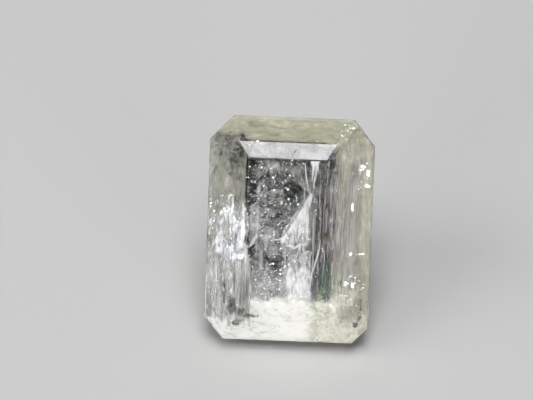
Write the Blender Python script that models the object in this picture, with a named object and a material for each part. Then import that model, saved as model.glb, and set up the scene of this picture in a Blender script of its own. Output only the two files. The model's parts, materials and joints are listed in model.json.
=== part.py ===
"""A faceted rhodizite: an eight-sided step cut, ground plane by plane from a block.

The stone is cut in its own axes, with the table facing +Z and the long side along Y, and then laid down
on the lowest facet of its pavilion at the near end, so that the table leans back and faces -Y and up.
Sizes of the cut are in millimetres; the finished mesh is in metres, resting on the plane Z = 0.
"""

import math
from collections import namedtuple

import bmesh
import bpy
from mathutils import Matrix, Vector

MM = 0.001

# Block that the stone is ground from, larger than the finished stone on every side
ROUGH_SIZE = 12.0

# Girdle, the upright band round the widest part, centred on height 0
GIRDLE_THICKNESS = 0.26

# Heights of the three crown steps, from the girdle up to the table
CROWN_RISES = (0.17, 0.66, 0.29)

# Heights of the two upper pavilion steps, from the girdle down; the third runs on to the keel
PAVILION_DROPS = (0.84, 1.00)

# One side of the eight-sided outline. Azimuth is the way it faces in plan, in degrees from +X towards +Y,
# and reach is how far its girdle stands from the axis. Crown and pavilion hold how far each step leans in.
# Keel angle is the slope of the lowest pavilion facet from the table plane; corners pinch out above it.
Side = namedtuple("Side", "name azimuth reach crown pavilion keel_angle")
SIDES = (
    Side("right", 0.0, 2.95, (0.10, 0.80, 0.483), (0.55, 0.86), 40.6),
    Side("far_right_corner", 39.0, 4.229, (0.10, 0.962, 0.637), (0.60, 0.92), None),
    Side("far_end", 90.0, 4.0, (0.10, 0.82, 0.574), (0.56, 0.84), 42.4),
    Side("far_left_corner", 136.8, 4.297, (0.10, 0.698, 0.665), (0.58, 0.90), None),
    Side("left", 180.36, 2.94, (0.10, 0.81, 0.494), (0.54, 0.85), 41.2),
    Side("near_left_corner", 220.5, 4.306, (0.10, 0.76, 0.60), (0.59, 0.90), None),
    Side("near_end", 270.0, 4.0, (0.10, 0.79, 0.47), (0.55, 0.85), 46.5),
    Side("near_right_corner", 317.1, 4.483, (0.10, 0.85, 0.62), (0.57, 0.88), None),
)

# The side whose keel facet the stone lies on
RESTING_SIDE = "near_end"

# Points closer than this, in millimetres, are one corner of a facet
WELD = 1e-4

STONE_COLOUR = (0.86, 0.87, 0.76, 1.0)
STONE_IOR = 1.69


def clear_scene():
    """Remove whatever the scene holds."""
    for old in list(bpy.data.objects):
        bpy.data.objects.remove(old)


def sloping_facet(azimuth, lower, upper):
    """Return (point, outward normal) of the plane over two level lines, each a (distance, height) pair."""
    outwards = Vector((math.cos(math.radians(azimuth)), math.sin(math.radians(azimuth)), 0.0))
    leans_in = lower[0] - upper[0]
    rises = upper[1] - lower[1]
    normal = outwards * rises + Vector((0.0, 0.0, leans_in))
    point = outwards * lower[0] + Vector((0.0, 0.0, lower[1]))
    return point, normal.normalized()


def girdle_facet(side):
    """Return the upright plane of one side of the girdle."""
    return sloping_facet(side.azimuth, (side.reach, 0.0), (side.reach, GIRDLE_THICKNESS))


def crown_facets(side):
    """Return the planes of one side's crown steps, from the girdle up."""
    facets = []
    lower = (side.reach, GIRDLE_THICKNESS / 2)
    for rise, lean in zip(CROWN_RISES, side.crown):
        upper = (lower[0] - lean, lower[1] + rise)
        facets.append(sloping_facet(side.azimuth, lower, upper))
        lower = upper
    return facets


def pavilion_facets(side):
    """Return the planes of one side's pavilion steps, from the girdle down to the keel."""
    facets = []
    upper = (side.reach, -GIRDLE_THICKNESS / 2)
    for drop, lean in zip(PAVILION_DROPS, side.pavilion):
        lower = (upper[0] - lean, upper[1] - drop)
        facets.append(sloping_facet(side.azimuth, lower, upper))
        upper = lower
    if side.keel_angle is not None:
        slope = math.radians(side.keel_angle)
        lower = (upper[0] - math.cos(slope), upper[1] - math.sin(slope))
        facets.append(sloping_facet(side.azimuth, lower, upper))
    return facets


def table_facet():
    """Return the level plane on top of the crown."""
    height = GIRDLE_THICKNESS / 2 + sum(CROWN_RISES)
    return Vector((0.0, 0.0, height)), Vector((0.0, 0.0, 1.0))


def all_facets():
    """Return the planes of the whole cut, in the order in which they are ground."""
    facets = [table_facet()]
    for side in SIDES:
        facets.append(girdle_facet(side))
        facets.extend(crown_facets(side))
        facets.extend(pavilion_facets(side))
    return facets


def grind(shape, point, normal):
    """Cut away all that stands outside one plane, and close the cut with a flat facet."""
    everything = shape.verts[:] + shape.edges[:] + shape.faces[:]
    cut = bmesh.ops.bisect_plane(
        shape,
        geom=everything,
        dist=WELD,
        plane_co=point,
        plane_no=normal,
        clear_outer=True,
    )
    rim = [item for item in cut["geom_cut"] if isinstance(item, bmesh.types.BMEdge)]
    if rim:
        bmesh.ops.edgeloop_fill(shape, edges=rim)


def resting_turn():
    """Return the turn about X that brings the resting facet, which faces -Y and down, straight down."""
    side = next(side for side in SIDES if side.name == RESTING_SIDE)
    return Matrix.Rotation(math.radians(side.keel_angle), 4, "X")


def set_down(mesh):
    """Turn the mesh onto its resting facet, with the middle of its footprint at the origin."""
    mesh.transform(resting_turn())
    lowest = Vector(tuple(min(v.co[axis] for v in mesh.vertices) for axis in range(3)))
    highest = Vector(tuple(max(v.co[axis] for v in mesh.vertices) for axis in range(3)))
    middle = (lowest + highest) / 2
    mesh.transform(Matrix.Translation((-middle.x, -middle.y, -lowest.z)))


def clear_stone_material():
    """Return the pale, see-through finish of the polished stone."""
    material = bpy.data.materials.new("polished_rhodizite")
    material.use_nodes = True
    shader = material.node_tree.nodes["Principled BSDF"]
    shader.inputs["Base Color"].default_value = STONE_COLOUR
    shader.inputs["Metallic"].default_value = 0.0
    shader.inputs["Roughness"].default_value = 0.04
    shader.inputs["IOR"].default_value = STONE_IOR
    shader.inputs["Transmission Weight"].default_value = 1.0
    return material


def build_stone(collection):
    """Grind the stone from its block, lay it down and put it in the collection."""
    shape = bmesh.new()
    bmesh.ops.create_cube(shape, size=ROUGH_SIZE)
    for point, normal in all_facets():
        grind(shape, point, normal)
    bmesh.ops.remove_doubles(shape, verts=shape.verts[:], dist=WELD)
    bmesh.ops.recalc_face_normals(shape, faces=shape.faces[:])
    mesh = bpy.data.meshes.new("cut_stone")
    shape.to_mesh(mesh)
    shape.free()
    set_down(mesh)
    mesh.transform(Matrix.Scale(MM, 4))
    mesh.materials.append(clear_stone_material())
    stone = bpy.data.objects.new("cut_stone", mesh)
    collection.objects.link(stone)
    return stone


def main():
    """Build the faceted stone."""
    clear_scene()
    collection = bpy.data.collections.new("faceted_rhodizite")
    bpy.context.scene.collection.children.link(collection)
    build_stone(collection)


main()
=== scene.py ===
"""Looks of the faceted rhodizite: the clear stone, what has grown and cracked inside it, sheets of painted
shade and reflection in it, and a small studio.

Sizes are in millimetres in the stone's own axes, with the table facing +Z, the long side along Y and the
middle of the girdle at the origin. The frame says how those axes lie in the world.
"""

import json
import logging
import math
from dataclasses import dataclass, field
from enum import Enum

import bmesh
import bpy
import numpy as np
from mathutils import Matrix, Vector


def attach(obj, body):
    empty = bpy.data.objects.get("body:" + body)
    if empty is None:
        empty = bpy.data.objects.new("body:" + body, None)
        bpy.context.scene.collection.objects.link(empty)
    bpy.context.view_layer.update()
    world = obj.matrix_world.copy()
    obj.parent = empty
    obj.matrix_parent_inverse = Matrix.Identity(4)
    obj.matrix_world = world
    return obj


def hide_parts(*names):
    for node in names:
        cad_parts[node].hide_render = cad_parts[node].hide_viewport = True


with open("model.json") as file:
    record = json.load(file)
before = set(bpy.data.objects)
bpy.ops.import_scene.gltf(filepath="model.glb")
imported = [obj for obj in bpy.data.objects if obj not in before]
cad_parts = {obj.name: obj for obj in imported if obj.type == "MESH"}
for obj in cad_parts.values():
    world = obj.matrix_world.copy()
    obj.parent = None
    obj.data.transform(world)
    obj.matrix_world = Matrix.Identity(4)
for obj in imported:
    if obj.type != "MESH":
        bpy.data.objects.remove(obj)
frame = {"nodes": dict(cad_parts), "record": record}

Array = np.ndarray
Triple = tuple[float, float, float]
Tint = tuple[float, float, float, float]

MM = 0.001
STONE_NODE = "cut_stone"

# Whole numbers that mix a lattice's corners and its seed into values without a pattern.
HASH_PRIMES = (73856093, 19349663, 83492791)
HASH_SEED = 40503
HASH_SHIFT = 977
HASH_MIX = 1274126177
# How a finer layer of noise is scaled and shifted against the layer before it.
OCTAVE_SCALE = 2.03
OCTAVE_SHIFT = 11.7
# Cosine above which two faces belong to one facet, and the least rise of a facet on the table side.
SAME_FACET = 0.99999
TABLE_SIDE = 0.05
# A flake's four corners, and the triangles between them.
CHIP_CORNERS = ((1.0, 0.0, -0.3), (-0.6, 0.8, -0.3), (-0.5, -0.9, -0.3), (0.0, 0.0, 0.7))
CHIP_FACES = ((0, 2, 1), (0, 1, 3), (1, 2, 3), (2, 0, 3))

log = logging.getLogger("rhodizite")


def hashed(corners: Array, seed: int) -> Array:
    """Return a repeatable value from -1 to 1 for each whole-numbered corner of a lattice.

    Args:
        corners: Whole numbers, with the three coordinates last.
        seed: Which lattice it is.

    Returns:
        One value for each corner.
    """
    x, y, z = (corners[..., axis] * prime for axis, prime in enumerate(HASH_PRIMES))
    mixed = x ^ y ^ z ^ (seed * HASH_SEED + HASH_SHIFT)
    mixed = ((mixed ^ (mixed >> 13)) * HASH_MIX) & 0xFFFFFFFF
    mixed = mixed ^ (mixed >> 16)
    return (mixed & 0xFFFF) / 32767.5 - 1.0


def smooth_noise(points: Array, cell: Triple, octaves: int, seed: int) -> Array:
    """Return soft noise from about -1 to 1 at each point.

    A random value stands at each corner of a box lattice, and a point takes the eight values round it,
    blended by the smooth weight 3t^2 - 2t^3 along each axis. Each octave halves the cell and the height.

    Args:
        points: Points in millimetres, one a row.
        cell: Size of the lattice's boxes along X, Y and Z.
        octaves: How many layers are added up.
        seed: Which lattice it is.

    Returns:
        One value for each point.
    """
    total = np.zeros(len(points))
    height = 1.0
    scaled = points / np.array(cell)
    for octave in range(octaves):
        base = np.floor(scaled).astype(np.int64)
        share = scaled - base
        share = share * share * (3 - 2 * share)
        for corner in np.ndindex(2, 2, 2):
            step = np.array(corner)
            weight = np.prod(np.where(step == 1, share, 1 - share), axis=1)
            total += height * weight * hashed(base + step, seed + octave)
        scaled = scaled * OCTAVE_SCALE + OCTAVE_SHIFT
        height /= 2
    return total / (2 - 2 * height)


def unit(vectors: Array) -> Array:
    """Return the vectors at length one."""
    return vectors / np.maximum(np.linalg.norm(vectors, axis=-1, keepdims=True), 1e-12)


@dataclass
class CutForm:
    """The stone's flat facets, read from the frame, in the stone's own axes.

    Attributes:
        origin: Where the middle of the girdle lies in the world, in metres.
        axes: The stone's X, Y and Z axes as rows, in the world.
        normals: Outward normal of each facet.
        reaches: Distance of each facet from the middle of the girdle.
        ior: Refractive index of the stone.
    """

    origin: Array
    axes: Array
    normals: Array
    reaches: Array
    ior: float

    @classmethod
    def from_frame(cls, ior: float) -> "CutForm":
        """Read the stone's axes from its mounts and its facets from its mesh.

        Args:
            ior: Refractive index of the stone.

        Returns:
            The form of the cut.
        """
        mounts = {mount["name"]: mount for mount in frame["record"]["mounts"]}
        up = unit(np.array(mounts["table"]["axis"], float))
        across = np.array([1.0, 0.0, 0.0])
        along = np.cross(up, across)
        ends = [np.array(mounts[name]["pos_m"], float) for name in ("girdle_near_end", "girdle_far_end")]
        origin = (ends[0] + ends[1]) / 2
        origin[0] = 0.0
        axes = np.stack((across, along, up))
        mesh = frame["nodes"][STONE_NODE].data
        normals = np.array([face.normal for face in mesh.polygons], float) @ axes.T
        points = np.array([face.center for face in mesh.polygons], float)
        points = (points - origin) / MM @ axes.T
        sizes = np.array([face.area for face in mesh.polygons])
        kept: list[int] = []
        for face in np.argsort(-sizes):
            if all(normals[face] @ normals[other] < SAME_FACET for other in kept):
                kept.append(int(face))
        reaches = np.einsum("ij,ij->i", normals[kept], points[kept])
        return cls(origin, axes, normals[kept], reaches, ior)

    def to_world(self, points: Array) -> Array:
        """Turn points from the stone's axes, in millimetres, into world points in metres."""
        return points @ self.axes * MM + self.origin

    def inside(self, points: Array, margin: float) -> Array:
        """Say which points lie in the stone, at least a margin below every facet."""
        return np.all(points @ self.normals.T <= self.reaches - margin, axis=-1)

    def sight(self, x: Array, y: Array, depth: Array) -> Array:
        """Return what someone who looks straight at the table sees at (x, y), at a depth below the surface.

        The ray comes down along -Z and meets the lowest of the facets above it. It is bent there by
        Snell's law, t = e v + (e c - sqrt(1 - e^2 (1 - c^2))) n, with e = 1 / ior and c the cosine
        between the ray and the facet's normal n. The point lies at the given depth along t.

        Args:
            x: Where the ray comes down.
            y: Where the ray comes down.
            depth: Length of its way inside the stone.

        Returns:
            One point for each ray.
        """
        facing = self.normals[:, 2] > TABLE_SIDE
        normals = self.normals[facing]
        reaches = self.reaches[facing]
        heights = (reaches - np.outer(x, normals[:, 0]) - np.outer(y, normals[:, 1])) / normals[:, 2]
        first = np.argmin(heights, axis=1)
        entry = np.stack((x, y, heights[np.arange(len(x)), first]), axis=1)
        normal = normals[first]
        slower = 1 / self.ior
        cosine = normal[:, 2]
        bend = slower * cosine - np.sqrt(1 - slower**2 * (1 - cosine**2))
        ray = np.array([0.0, 0.0, -slower]) + bend[:, None] * normal
        return entry + depth[:, None] * ray


def joined(solids: list[tuple[Array, Array]]) -> tuple[Array, Array]:
    """Join solids in one array of points and one of triangles.

    Args:
        solids: Points and triangles of each solid.

    Returns:
        All the points, and the triangles counted from the first of them.
    """
    starts = np.cumsum([0] + [len(points) for points, _ in solids[:-1]])
    triangles = [part + start for (_, part), start in zip(solids, starts)]
    return np.concatenate([points for points, _ in solids]), np.concatenate(triangles)


def halves(a: Array, b: Array, c: Array, d: Array) -> Array:
    """Return the two triangles of each four-sided face whose corners run a, b, d, c."""
    return np.concatenate([np.stack(corners, -1).reshape(-1, 3) for corners in ((a, b, d), (a, d, c))])


def tube_walls(rings: int, sides: int) -> Array:
    """Return the triangles between equal rings of points that are numbered ring after ring.

    Args:
        rings: Number of rings.
        sides: Number of points in a ring.

    Returns:
        Three point numbers a row.
    """
    ring = np.arange(sides)
    low = (np.arange(rings - 1) * sides)[:, None]
    a, b = low + ring, low + (ring + 1) % sides
    return halves(a, b, a + sides, b + sides)


def put(name: str, data: bpy.types.ID) -> bpy.types.Object:
    """Put a mesh, a lamp or a camera in the scene.

    Args:
        name: Name of the object.
        data: What it shows.

    Returns:
        The object.
    """
    thing = bpy.data.objects.new(name, data)
    bpy.context.scene.collection.objects.link(thing)
    return thing


def closed_piece(name: str, form: CutForm, points: Array, triangles: Array, material: bpy.types.Material,
                 flat: bool = False) -> bpy.types.Object:
    """Make one piece that goes with the stone out of closed solids.

    Args:
        name: Name of the piece.
        form: The stone's form, for its place in the world.
        points: Points in the stone's axes, one a row.
        triangles: Three point numbers a row, turning left round the outward normal.
        material: Its material.
        flat: Whether its faces stand apart from one another, as on a chip, or run softly together.

    Returns:
        The finished piece.
    """
    mesh = bpy.data.meshes.new(name)
    mesh.vertices.add(len(points))
    mesh.vertices.foreach_set("co", form.to_world(points).astype(np.float32).ravel())
    mesh.loops.add(triangles.size)
    mesh.loops.foreach_set("vertex_index", triangles.astype(np.int32).ravel())
    mesh.polygons.add(len(triangles))
    mesh.polygons.foreach_set("loop_start", np.arange(0, triangles.size, 3, dtype=np.int32))
    mesh.update(calc_edges=True)
    mesh.validate()
    if flat:
        mesh.shade_flat()
    mesh.materials.append(material)
    piece = put(name, mesh)
    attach(piece, "root")
    return piece


@dataclass(frozen=True)
class Patch:
    """A soft-edged area of the stone as seen from the table side.

    Attributes:
        x: Its middle.
        y: Its middle.
        half_width: Half its width.
        half_height: Half its height.
        weight: How strong it is; a negative weight thins out what lies there.
        lean: How far it is turned to the left, in degrees.
        power: 2 for an ellipse, and more for a shape nearer to a rectangle.
        softness: Share of its size over which it fades out.
    """

    x: float
    y: float
    half_width: float
    half_height: float
    weight: float = 1.0
    lean: float = 0.0
    power: float = 2.0
    softness: float = 0.5

    def cover(self, x: Array, y: Array) -> Array:
        """Return the patch's strength at each place, which falls off by 3t^2 - 2t^3 over its soft edge.

        Args:
            x: The places' x.
            y: The places' y.

        Returns:
            One strength for each place.
        """
        turn = math.radians(self.lean)
        across = (x - self.x) * math.cos(turn) + (y - self.y) * math.sin(turn)
        along = (y - self.y) * math.cos(turn) - (x - self.x) * math.sin(turn)
        away = (np.abs(across / self.half_width) ** self.power
                + np.abs(along / self.half_height) ** self.power) ** (1 / self.power)
        rise = np.clip((1 + self.softness / 2 - away) / self.softness, 0, 1)
        return self.weight * rise * rise * (3 - 2 * rise)

    def draw(self, count: int, rng: np.random.Generator) -> tuple[Array, Array]:
        """Draw random places in the patch, thicker where its cover is stronger.

        Args:
            count: Number of draws, of which those outside the patch are dropped.
            rng: Source of the random places.

        Returns:
            The places' x and y.
        """
        turn = math.radians(self.lean)
        reach = 1 + self.softness / 2
        across = rng.uniform(-reach, reach, count) * self.half_width
        along = rng.uniform(-reach, reach, count) * self.half_height
        x = self.x + across * math.cos(turn) - along * math.sin(turn)
        y = self.y + across * math.sin(turn) + along * math.cos(turn)
        kept = self.cover(x, y) > rng.uniform(0, self.weight, count)
        return x[kept], y[kept]


@dataclass(frozen=True)
class Strip:
    """An area between a left and a right border, as seen from the table side.

    Attributes:
        rungs: (y, left x, right x, weight) from the lowest y up.
        left_fade: Width over which it fades out on the left.
        right_fade: Width over which it fades out on the right.
        end_fade: Length over which it fades out at its two ends.
    """

    rungs: tuple[tuple[float, float, float, float], ...]
    left_fade: float = 0.03
    right_fade: float = 0.12
    end_fade: float = 0.1

    def cover(self, x: Array, y: Array) -> Array:
        """Return the strip's strength at each place, which falls off evenly at its borders.

        Args:
            x: The places' x.
            y: The places' y.

        Returns:
            One strength for each place.
        """
        rungs = np.array(self.rungs)
        left = np.interp(y, rungs[:, 0], rungs[:, 1])
        right = np.interp(y, rungs[:, 0], rungs[:, 2])
        weight = np.interp(y, rungs[:, 0], rungs[:, 3])
        from_left = np.clip((x - left) / self.left_fade + 0.5, 0, 1)
        from_right = np.clip((right - x) / self.right_fade + 0.5, 0, 1)
        from_ends = np.clip(np.minimum(y - rungs[0, 0], rungs[-1, 0] - y) / self.end_fade + 0.5, 0, 1)
        return weight * from_left * from_right * from_ends


def new_material(name: str) -> tuple[bpy.types.Material, bpy.types.NodeTree, bpy.types.Node]:
    """Make a material.

    Args:
        name: Its name.

    Returns:
        The material, its node tree and its shader.
    """
    material = bpy.data.materials.new(name)
    material.use_nodes = True
    tree = material.node_tree
    return material, tree, tree.nodes["Principled BSDF"]


def feed(tree: bpy.types.NodeTree, node: bpy.types.Node, inputs: dict[str | int, object]) -> bpy.types.Node:
    """Give a node its inputs.

    Args:
        tree: The node tree.
        node: The node.
        inputs: A value, or an output to link, for each input by its name or place.

    Returns:
        The same node.
    """
    for name, value in inputs.items():
        if isinstance(value, bpy.types.NodeSocket):
            tree.links.new(value, node.inputs[name])
        else:
            node.inputs[name].default_value = value
    return node


def add_tints(tree: bpy.types.NodeTree, value: object, tints: tuple[Tint, ...]) -> object:
    """Add a colour ramp.

    Args:
        tree: The node tree.
        value: The output that it reads.
        tints: Its stops, as (position, red, green, blue).

    Returns:
        The ramp's colour output.
    """
    node = feed(tree, tree.nodes.new("ShaderNodeValToRGB"), {"Fac": value})
    stops = node.color_ramp.elements
    for stop, (position, *colour) in zip((stops[0], stops[1]), (tints[0], tints[-1])):
        stop.position = position
        stop.color = (*colour, 1.0)
    for position, *colour in tints[1:-1]:
        stops.new(position).color = (*colour, 1.0)
    return node.outputs["Color"]


def add_math(tree: bpy.types.NodeTree, work: str, first: object, second: object) -> object:
    """Add one math node.

    Args:
        tree: The node tree.
        work: What the node works out.
        first: A number, or an output to link.
        second: A number, or an output to link.

    Returns:
        The node's output.
    """
    node = feed(tree, tree.nodes.new("ShaderNodeMath"), {0: first, 1: second})
    node.operation = work
    return node.outputs[0]


def add_step(tree: bpy.types.NodeTree, value: object, span: tuple[float, float],
             levels: tuple[float, float]) -> object:
    """Add a smooth step.

    Args:
        tree: The node tree.
        value: The output that it reads.
        span: Values at which the step begins and ends.
        levels: What it gives before and after.

    Returns:
        The step's output.
    """
    sockets = ("Value", "From Min", "From Max", "To Min", "To Max")
    step = feed(tree, tree.nodes.new("ShaderNodeMapRange"), dict(zip(sockets, (value, *span, *levels))))
    step.interpolation_type = "SMOOTHSTEP"
    return step.outputs["Result"]


@dataclass(frozen=True)
class MineralFinish:
    """Finish of something inside the stone, which varies between two tints from grain to grain.

    Attributes:
        name: Name of the material.
        pale: The lighter tint.
        deep: The darker tint.
        grain: Size of the variation, in millimetres.
        roughness: Middle of its roughness.
        gloss: Strength of its reflection.
        stops: Where the two tints stand on the noise.
        metallic: 1 for a fracture that mirrors like a thin gap of air, else 0.
        unevenness: How far the roughness strays from its middle.
        detail: How many finer layers the noise has.
    """

    name: str
    pale: Triple
    deep: Triple
    grain: float = 0.12
    roughness: float = 0.6
    gloss: float = 0.3
    stops: tuple[float, float] = (0.35, 0.65)
    metallic: float = 0.0
    unevenness: float = 0.15
    detail: float = 3.0

    def make(self) -> bpy.types.Material:
        """Make the material, with tint and roughness from one noise on the piece's own coordinates.

        Returns:
            The material.
        """
        material, tree, shader = new_material(self.name)
        noise = feed(tree, tree.nodes.new("ShaderNodeTexNoise"), {
            "Vector": tree.nodes.new("ShaderNodeTexCoord").outputs["Object"],
            "Scale": 1 / (self.grain * MM),
            "Detail": self.detail,
        }).outputs["Fac"]
        rough = feed(tree, tree.nodes.new("ShaderNodeMapRange"), {
            "Value": noise,
            "To Min": max(self.roughness - self.unevenness, 0.0),
            "To Max": min(self.roughness + self.unevenness, 1.0),
        })
        feed(tree, shader, {
            "Base Color": add_tints(tree, noise, ((self.stops[0], *self.deep), (self.stops[1], *self.pale))),
            "Roughness": rough.outputs["Result"],
            "Specular IOR Level": self.gloss,
            "Metallic": self.metallic,
        })
        return material


@dataclass(frozen=True)
class VeilFinish:
    """Finish of a veil: clots with gaps between them, in tints that change from grain to grain.

    Attributes:
        name: Name of the material.
        tints: (position, red, green, blue) stops along the grain's noise.
        cell: Size of the clots and gaps along the stone's X, Y and Z axes, in millimetres.
        grain: Size of the grain as a share of the clots.
        contrast: How strongly the clots stand out from the gaps.
        softness: Half width of the step between clot and gap.
        opacity: How solid the clots are.
        wisps: Strength of the fine threads drawn through the veil, 0 for none.
        wisp_cell: Size of the loops that the threads make, in millimetres.
        wisp_width: Width of a thread on the noise.
        wisp_colour: Colour of the threads.
        distortion: How much the noise is warped.
        roughness: Middle of its roughness.
        unevenness: How far the roughness varies with the grain.
        gloss: Strength of its reflection.
        metallic: How far it mirrors like a thin gap of air, from 0 to 1.
        relief: Strength of its fine relief.
        relief_depth: Depth of the relief at full strength, in millimetres.
        detail: How many finer layers the noises of clots and grain have.
        wisp_detail: How many finer layers the threads' noise has.
        fineness: Strength of each finer layer, as a share of the one before.
    """

    name: str
    tints: tuple[Tint, ...]
    cell: Triple = (0.3, 0.3, 0.3)
    grain: float = 0.4
    contrast: float = 3.0
    softness: float = 0.25
    opacity: float = 1.0
    wisps: float = 0.0
    wisp_cell: Triple = (0.4, 0.4, 0.4)
    wisp_width: float = 0.012
    wisp_colour: Triple = (0.97, 0.97, 0.97)
    distortion: float = 0.6
    roughness: float = 0.5
    unevenness: float = 0.4
    gloss: float = 0.3
    metallic: float = 0.0
    relief: float = 0.0
    relief_depth: float = 0.04
    detail: float = 4.0
    wisp_detail: float = 3.0
    fineness: float = 0.6

    def noise(self, tree: bpy.types.NodeTree, form: CutForm, cell: Triple, detail: float) -> object:
        """Add a noise in the stone's own axes.

        Args:
            tree: The material's node tree.
            form: The stone's form, for its axes.
            cell: Size of the noise along X, Y and Z, in millimetres.
            detail: How many finer layers it has.

        Returns:
            The noise's output, with its middle at 0.5.
        """
        stone = tree.nodes.new("ShaderNodeMapping")
        stone.vector_type = "TEXTURE"
        feed(tree, stone, {
            "Vector": tree.nodes.new("ShaderNodeTexCoord").outputs["Object"],
            "Location": tuple(form.origin),
            "Rotation": Matrix(form.axes).transposed().to_euler(),
            "Scale": tuple(size * MM for size in cell),
        })
        return feed(tree, tree.nodes.new("ShaderNodeTexNoise"), {
            "Vector": stone.outputs["Vector"],
            "Scale": 1.0,
            "Detail": detail,
            "Roughness": self.fineness,
            "Distortion": self.distortion,
        }).outputs["Fac"]

    def draw_wisps(self, tree: bpy.types.NodeTree, form: CutForm, cover: object, colour: object,
                   alpha: object) -> tuple[object, object]:
        """Draw threads through the veil where a noise of their own lies close to 0.5.

        Args:
            tree: The material's node tree.
            form: The stone's form, for its axes.
            cover: Output with the veil's cover.
            colour: Output with the veil's colour.
            alpha: Output with the veil's opacity.

        Returns:
            The outputs of colour and opacity with the threads in them.
        """
        loops = self.noise(tree, form, self.wisp_cell, self.wisp_detail)
        away = add_math(tree, "ABSOLUTE", add_math(tree, "SUBTRACT", loops, 0.5), 0.0)
        line = add_step(tree, away, (0.0, self.wisp_width), (self.wisps, 0.0))
        near = add_math(tree, "MULTIPLY", line, cover)
        mixed = tree.nodes.new("ShaderNodeMix")
        mixed.data_type = "RGBA"
        feed(tree, mixed, {"Factor": near, "A": colour, "B": (*self.wisp_colour, 1.0)})
        return mixed.outputs["Result"], add_math(tree, "MAXIMUM", alpha, near)

    def make(self, form: CutForm) -> bpy.types.Material:
        """Make the material.

        The veil is solid where cover + contrast * (clots - 0.5) passes one half, with a soft step.

        Args:
            form: The stone's form, for its axes.

        Returns:
            The material.
        """
        material, tree, shader = new_material(self.name)
        cover = tree.nodes.new("ShaderNodeAttribute")
        cover.attribute_name = "cover"
        clots = self.noise(tree, form, self.cell, self.detail)
        stands_out = add_math(tree, "MULTIPLY", add_math(tree, "SUBTRACT", clots, 0.5), self.contrast)
        covered = add_math(tree, "ADD", stands_out, cover.outputs["Fac"])
        alpha = add_step(tree, covered, (0.5 - self.softness, 0.5 + self.softness), (0.0, self.opacity))
        grain = self.noise(tree, form, tuple(size * self.grain for size in self.cell), self.detail)
        colour = add_tints(tree, grain, self.tints)
        varied = add_math(tree, "MULTIPLY", grain, self.unevenness)
        rough = add_math(tree, "ADD", varied, self.roughness - self.unevenness / 2)
        if self.relief:
            bump = feed(tree, tree.nodes.new("ShaderNodeBump"), {
                "Strength": self.relief,
                "Distance": self.relief_depth * MM,
                "Height": grain,
            })
            feed(tree, shader, {"Normal": bump.outputs["Normal"]})
        if self.wisps:
            colour, alpha = self.draw_wisps(tree, form, cover.outputs["Fac"], colour, alpha)
        feed(tree, shader, {
            "Base Color": colour,
            "Alpha": alpha,
            "Roughness": rough,
            "Metallic": self.metallic,
            "Specular IOR Level": self.gloss,
        })
        return material


@dataclass(frozen=True)
class ClearCrystal:
    """Finish of the polished stone: see-through, with a faint tint that deepens with thickness.

    Attributes:
        name: Name of the material.
        ior: Refractive index.
        roughness: Roughness of the polish.
        tint: Colour that thick crystal lets through.
        tint_density: How fast the tint deepens, for each metre.
    """

    name: str = "clear_rhodizite"
    ior: float = 1.69
    roughness: float = 0.0
    tint: Triple = (0.80, 0.86, 0.20)
    tint_density: float = 16.0

    def make(self) -> bpy.types.Material:
        """Make the material, with plain transmission on its surface and plain absorption in its volume.

        Returns:
            The material.
        """
        material, tree, shader = new_material(self.name)
        feed(tree, shader, {
            "Base Color": (1.0, 1.0, 1.0, 1.0),
            "Roughness": self.roughness,
            "IOR": self.ior,
            "Transmission Weight": 1.0,
        })
        absorption = feed(tree, tree.nodes.new("ShaderNodeVolumeAbsorption"), {
            "Color": (*self.tint, 1.0),
            "Density": self.tint_density,
        })
        feed(tree, tree.nodes["Material Output"], {"Volume": absorption.outputs["Volume"]})
        return material


FROST = MineralFinish("white_frost", (1.0, 1.0, 1.0), (0.94, 0.94, 0.96))
GLINT = MineralFinish("bright_fracture", (1.0, 1.0, 1.0), (0.90, 0.92, 0.96), 0.1, 0.16, 0.5, metallic=1.0)
SPARK = MineralFinish("bright_sparkle", (1.0, 1.0, 1.0), (0.95, 0.96, 1.0), 0.1, 0.24, 0.5, metallic=1.0)
SMOKE = MineralFinish("smoky_needle", (0.20, 0.20, 0.20), (0.05, 0.05, 0.055), 0.1, 0.35, 0.5)
RUST = MineralFinish("rust_stain", (0.34, 0.09, 0.05), (0.14, 0.03, 0.02), 0.05)
STRAW = MineralFinish("straw_thread", (0.98, 0.94, 0.76), (0.86, 0.78, 0.52), 0.1)
OCHRE = MineralFinish("ochre_mineral", (0.25, 0.16, 0.03), (0.07, 0.04, 0.01), 0.04)

FROST_VEIL = VeilFinish("frost_veil", (
    (0.32, 0.60, 0.64, 0.72),
    (0.44, 0.92, 0.93, 0.96),
    (0.54, 1.0, 1.0, 1.0),
), (0.09, 0.30, 0.3), grain=0.7, contrast=3.8, softness=0.6, roughness=0.45, metallic=0.15, relief=0.4,
    wisps=0.6, wisp_cell=(0.12, 0.5, 0.3), wisp_width=0.03, wisp_colour=(1.0, 1.0, 1.0))
SILK_VEIL = VeilFinish("silk_veil", (
    (0.30, 0.56, 0.58, 0.60),
    (0.44, 0.90, 0.90, 0.91),
    (0.56, 1.0, 1.0, 1.0),
), (0.18, 0.50, 0.4), grain=0.8, contrast=2.2, softness=0.55, roughness=0.36, metallic=0.45, relief=0.4,
    detail=3.0)
SAGE_VEIL = VeilFinish("sage_veil", (
    (0.32, 0.38, 0.38, 0.28),
    (0.44, 0.56, 0.57, 0.45),
    (0.54, 0.64, 0.63, 0.51),
    (0.68, 0.82, 0.82, 0.70),
), (1.3, 0.6, 0.5), grain=0.5, contrast=1.0, softness=0.6, opacity=0.93, wisps=0.35,
    wisp_cell=(1.2, 0.4, 0.5), wisp_width=0.012, wisp_colour=(0.86, 0.82, 0.66), detail=3.0)
# Lavender-grey tints: painted reflection of the overhead softbox in the far inner crown facet.
PAINTED_REFLECTION_VEIL = VeilFinish("painted_reflection_veil", (
    (0.38, 0.29, 0.275, 0.295),
    (0.62, 0.71, 0.70, 0.71),
), (0.5, 0.5, 0.4), grain=0.7, contrast=1.6, softness=0.6)
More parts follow.
